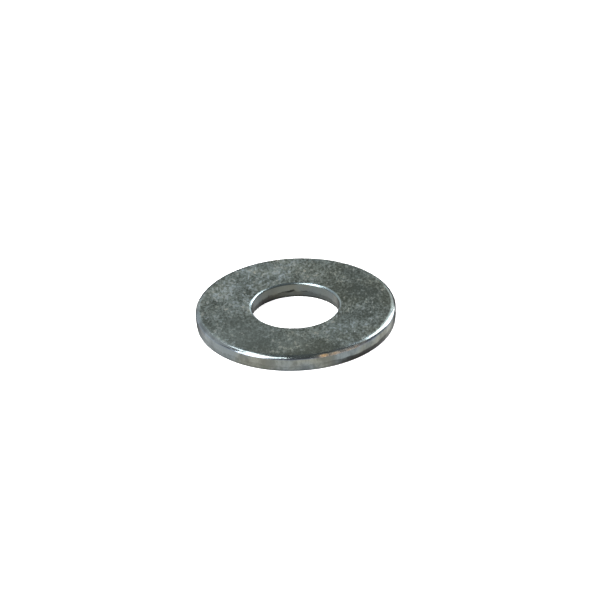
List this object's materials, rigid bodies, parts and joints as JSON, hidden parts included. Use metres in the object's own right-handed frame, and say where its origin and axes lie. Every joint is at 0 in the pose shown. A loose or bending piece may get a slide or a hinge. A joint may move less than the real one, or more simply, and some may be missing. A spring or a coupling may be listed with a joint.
{
  "type": "flat washer",
  "caption": "Round flat steel ring with a plain hole, rounded edges and zinc plating, that spreads the load of a bolt head or nut.",
  "frame": {"origin": "centre of the hole, in the plane of the underside that the washer rests on", "axes": "+Z along the axis of the hole, from the underside to the face with the rolled edges; X and Y are interchangeable"},
  "size_m": [0.0254, 0.0254, 0.0021],
  "materials": {
    "zinc_plate": "zinc plated low-carbon steel, tumbled to a mottled satin with bright rolled edges"
  },
  "bodies": {
    "root": {"washer": "zinc_plate"}
  },
  "joints": []
}
